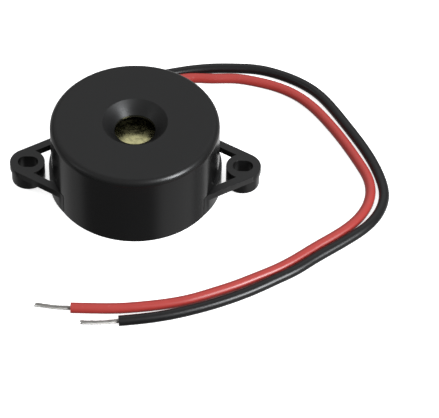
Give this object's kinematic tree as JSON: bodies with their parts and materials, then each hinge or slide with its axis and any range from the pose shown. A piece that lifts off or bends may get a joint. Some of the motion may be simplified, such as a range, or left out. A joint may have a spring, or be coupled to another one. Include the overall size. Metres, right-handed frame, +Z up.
{
  "type": "piezo buzzer",
  "caption": "Round black piezo buzzer with a countersunk sound hole, slotted mounting ears and a red and a black wire lead with stripped ends.",
  "frame": {"origin": "centre of the underside, on the mounting face", "axes": "+X through the two mounting ears, +Y towards the lead outlet, +Z up through the sound hole"},
  "size_m": [0.0542, 0.0518, 0.012],
  "materials": {
    "cap_plastic": "black moulded plastic, fine matte top and a smoother wall",
    "base_plastic": "black moulded plastic, satin",
    "brass": "rolled sheet, satin",
    "ceramic": "unglazed",
    "silver": "fired silver print, satin",
    "silicone": "cured sealant, satin",
    "laminate": "paper laminate, matt",
    "moulding": "moulded, matt",
    "resistor_body": "glazed black",
    "tinned_lead": "tin plated, satin",
    "solder": "reflowed, bright",
    "tinned_copper": "tinned, satin",
    "red_insulation": "soft vinyl, satin",
    "black_insulation": "soft vinyl, satin",
    "blue_insulation": "soft vinyl, satin"
  },
  "bodies": {
    "root": {"cap": "cap_plastic", "base": "base_plastic", "diaphragm": "brass", "piezo_disc": "ceramic", "main_electrode": "silver", "feedback_electrode": "silver", "silicone_bead": "silicone", "circuit_board": "laminate", "transistor": "moulding", "transistor_legs": "tinned_lead", "load_resistor": "resistor_body", "bias_resistor": "resistor_body", "feedback_resistor": "resistor_body", "resistor_terminals": "tinned_lead", "brass_jumper": "black_insulation", "main_jumper": "red_insulation", "feedback_jumper": "blue_insulation", "brass_joint": "solder", "main_joint": "solder", "feedback_joint": "solder", "jumper_joints": "solder", "red_core": "tinned_copper", "black_core": "tinned_copper", "red_joint": "solder", "black_joint": "solder", "red_lead": "red_insulation", "black_lead": "black_insulation", "red_tip": "tinned_copper", "black_tip": "tinned_copper"}
  },
  "joints": []
}
